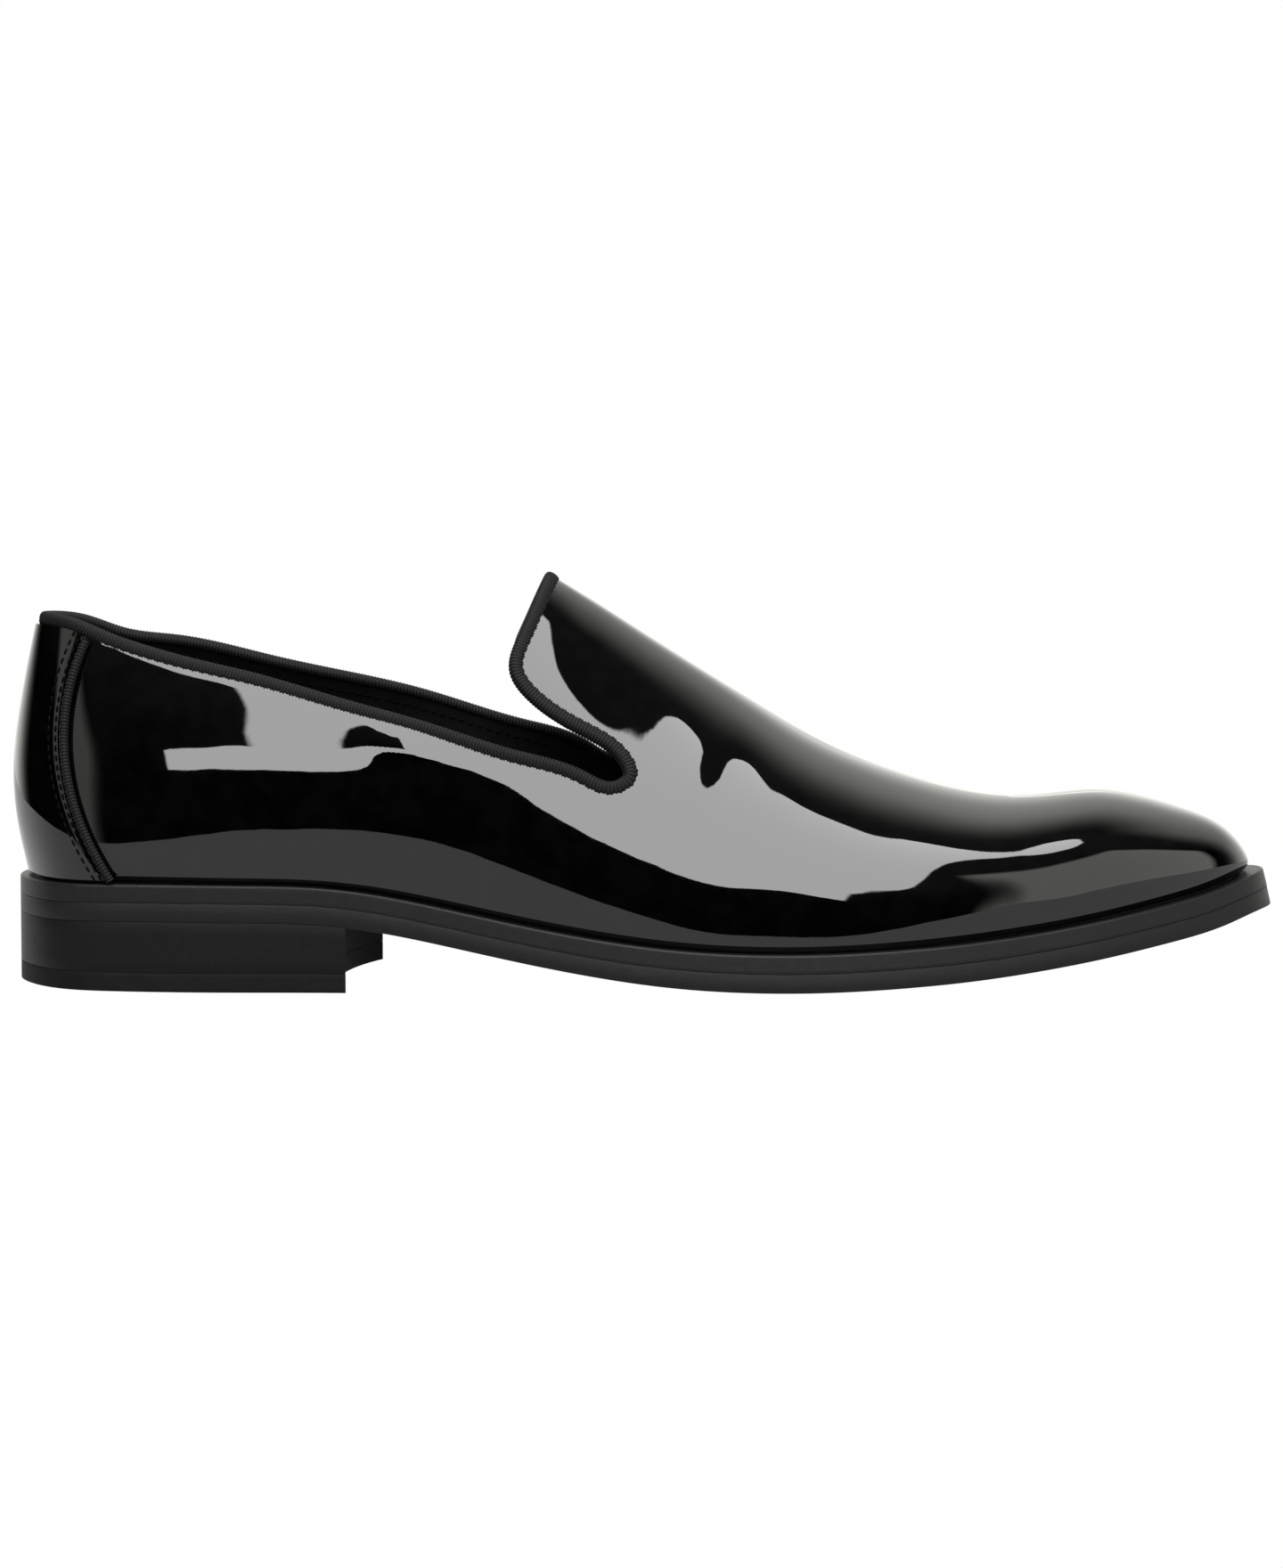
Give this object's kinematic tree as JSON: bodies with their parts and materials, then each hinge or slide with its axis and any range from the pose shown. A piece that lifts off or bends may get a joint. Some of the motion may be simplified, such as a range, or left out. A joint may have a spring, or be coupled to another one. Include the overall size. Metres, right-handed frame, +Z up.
{
  "type": "dress shoe",
  "caption": "Slip-on dress shoe for the right foot: patent upper with a high tongue-like vamp and notched sides, ribbon-bound topline, corded heel counter, welted sole and stacked heel.",
  "frame": {"origin": "on the floor, under the middle of the shoe's bounding box", "axes": "+X to the toe, +Y to the inner side of the foot, +Z up"},
  "size_m": [0.3042, 0.0974, 0.0976],
  "materials": {
    "patent_leather": "black patent, mirror gloss",
    "grosgrain_ribbon": "black ribbed ribbon, matt",
    "sock_leather": "black lining leather, matt",
    "welt_edge": "black dyed edge, satin, fine streaks",
    "outsole_leather": "black dyed sole leather, satin",
    "heel_stack": "black dyed stacked leather, satin",
    "top_lift_rubber": "black rubber, matt"
  },
  "bodies": {
    "root": {"upper": "patent_leather", "counter": "patent_leather", "binding": "grosgrain_ribbon", "piping_outer": "grosgrain_ribbon", "piping_inner": "grosgrain_ribbon", "insole": "sock_leather", "welt": "welt_edge", "outsole": "outsole_leather", "heel_block": "heel_stack", "heel_top_lift": "top_lift_rubber"}
  },
  "joints": []
}
